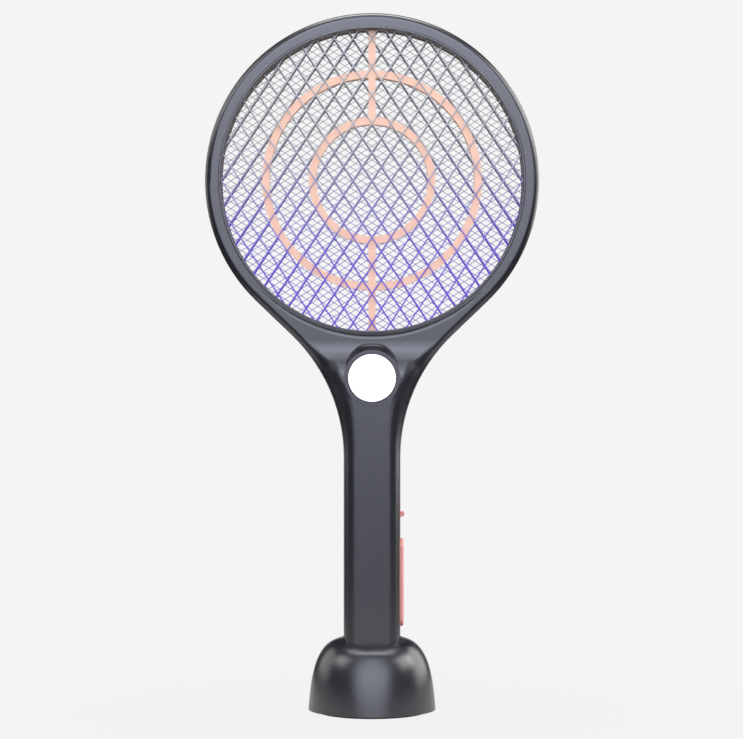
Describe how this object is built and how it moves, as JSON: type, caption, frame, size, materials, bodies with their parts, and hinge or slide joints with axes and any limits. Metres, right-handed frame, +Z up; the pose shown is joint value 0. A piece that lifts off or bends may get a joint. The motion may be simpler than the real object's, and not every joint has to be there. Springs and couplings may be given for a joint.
{
  "type": "electric fly swatter",
  "caption": "Round-headed electric fly swatter with three wire nets, a torch in its neck, a side trigger and a domed charging base it stands in.",
  "frame": {"origin": "centre of the base's underside, on the table", "axes": "+Z up along the handle; -Y is the front, which the torch looks to; +X to the right, the side with the trigger"},
  "size_m": [0.224, 0.0806, 0.4675],
  "materials": {
    "graphite_plastic": "satin, fine grain",
    "coral_plastic": "satin",
    "net_steel": "bright drawn wire",
    "lens_plastic": "polished, frosted inside",
    "bezel_plastic": "satin",
    "reflector_metal": "mirror",
    "lure_lamp_resin": "clear violet",
    "circuit_board": "lacquered",
    "component_black": "matt",
    "component_brown": "dipped",
    "transformer_core": "ferrite and copper",
    "cell_sleeve": "shrink sleeve",
    "nickel_strip": "satin",
    "lead_jacket": "smooth",
    "screw_steel": "black zinc",
    "spring_steel": "bright",
    "contact_brass": "gold plated",
    "socket_steel": "bright",
    "ballast_steel": "zinc plated",
    "foot_rubber": "matt"
  },
  "bodies": {
    "base": {"base_shell": "graphite_plastic", "base_socket": "graphite_plastic", "base_plate": "graphite_plastic", "ballast_plate": "ballast_steel", "rubber_foot_ring": "foot_rubber", "base_screws": "screw_steel", "charge_board": "circuit_board", "contact_block": "component_black", "contact_springs": "spring_steel", "usb_socket": "socket_steel"},
    "swatter": {"front_housing": "graphite_plastic", "rear_housing": "graphite_plastic", "housing_screws": "screw_steel", "front_guard_net": "net_steel", "rear_guard_net": "net_steel", "high_voltage_net": "net_steel", "front_net_hoop": "net_steel", "rear_net_hoop": "net_steel", "front_net_spider": "coral_plastic", "rear_net_spider": "coral_plastic", "lure_lamps": "lure_lamp_resin", "lure_lamp_strips": "circuit_board", "torch_lens": "lens_plastic", "torch_bezel": "bezel_plastic", "torch_reflector": "reflector_metal", "torch_board": "circuit_board", "torch_lamp": "lens_plastic", "trigger_springs": "spring_steel", "trigger_tact_switch": "component_black", "switch_escutcheon": "coral_plastic", "slide_switch_body": "socket_steel", "main_circuit_board": "circuit_board", "hv_transformer": "transformer_core", "hv_capacitor": "component_brown", "hv_diodes": "component_black", "board_chips": "component_black", "battery_cell": "cell_sleeve", "battery_tabs": "nickel_strip", "battery_leads": "lead_jacket", "net_leads": "lead_jacket", "lamp_leads": "lead_jacket", "handle_end_cap": "graphite_plastic", "charge_pads": "contact_brass"},
    "trigger": {"trigger_button": "coral_plastic"},
    "switch": {"switch_knob": "coral_plastic", "switch_lever": "component_black"},
    "contacts": {"contact_pins": "contact_brass"}
  },
  "joints": [
    {"name": "swatter_lift", "type": "slide", "parent": "base", "child": "swatter", "axis": [0, 0, 1], "range_m": [0, 0.05]},
    {"name": "trigger_press", "type": "slide", "parent": "swatter", "child": "trigger", "axis": [-1, 0, 0], "range_m": [0, 0.0015], "stiffness_N_per_m": 1200, "springref_m": -0.001, "deforming": ["trigger_springs"]},
    {"name": "switch_slide", "type": "slide", "parent": "swatter", "child": "switch", "axis": [0, 0, 1], "range_m": [0, 0.0094]},
    {"name": "contact_press", "type": "slide", "parent": "base", "child": "contacts", "axis": [0, 0, 1], "range_m": [-0.0008, 0], "stiffness_N_per_m": 500, "springref_m": 0.001, "deforming": ["contact_springs"]}
  ]
}
